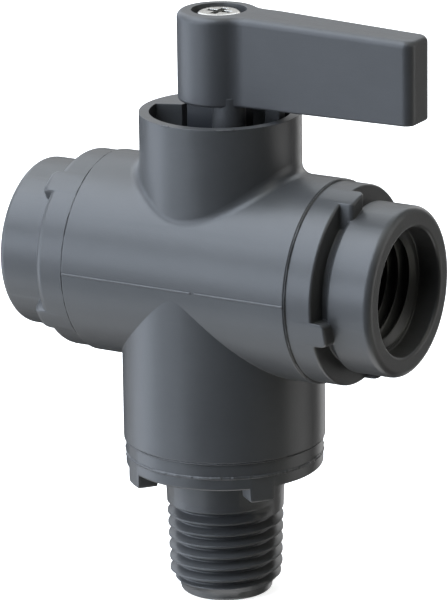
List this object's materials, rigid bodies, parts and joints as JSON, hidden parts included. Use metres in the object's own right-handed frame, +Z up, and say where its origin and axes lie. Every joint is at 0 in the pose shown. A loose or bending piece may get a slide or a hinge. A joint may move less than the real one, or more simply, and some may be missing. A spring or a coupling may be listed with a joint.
{
  "type": "three way valve",
  "caption": "Moulded plastic three way ball valve with two threaded sockets in line, a threaded spigot below and a lever handle on top that sends flow from either side to the spigot.",
  "frame": {"origin": "on the spigot's axis, at the lower end of its thread", "axes": "+Z up the spigot and stem axis towards the handle, +X out of the right-hand socket, which the handle points over at rest, +Y away from the front"},
  "size_m": [0.0504, 0.0238, 0.0697],
  "materials": {
    "moulded_body": "slate grey moulded plastic, satin, faint flow marks",
    "moulded_handle": "slate grey moulded plastic, slightly duller than the body",
    "moulded_stem": "slate grey moulded plastic, smooth",
    "moulded_ball": "smooth turned grey plastic",
    "ptfe": "waxy white PTFE",
    "seal_rubber": "black elastomer, smooth",
    "stainless": "bright stainless steel"
  },
  "bodies": {
    "root": {"valve_body": "moulded_body", "right_end_connector": "moulded_body", "left_end_connector": "moulded_body", "bottom_end_connector": "moulded_body", "right_seat": "ptfe", "left_seat": "ptfe", "bottom_seat": "ptfe", "right_seat_ring": "seal_rubber", "left_seat_ring": "seal_rubber", "bottom_seat_ring": "seal_rubber", "right_body_seal": "seal_rubber", "left_body_seal": "seal_rubber", "bottom_body_seal": "seal_rubber", "stem_thrust_washer": "ptfe"},
    "rotor": {"handle": "moulded_handle", "handle_screw": "stainless", "stem": "moulded_stem", "stem_seal_upper": "seal_rubber", "stem_seal_lower": "seal_rubber", "ball": "moulded_ball"}
  },
  "joints": [
    {"name": "handle_turn", "type": "hinge", "parent": "root", "child": "rotor", "pos_m": [0, 0, 0.037], "axis": [0, 0, 1], "range_deg": [-180, 0]}
  ]
}
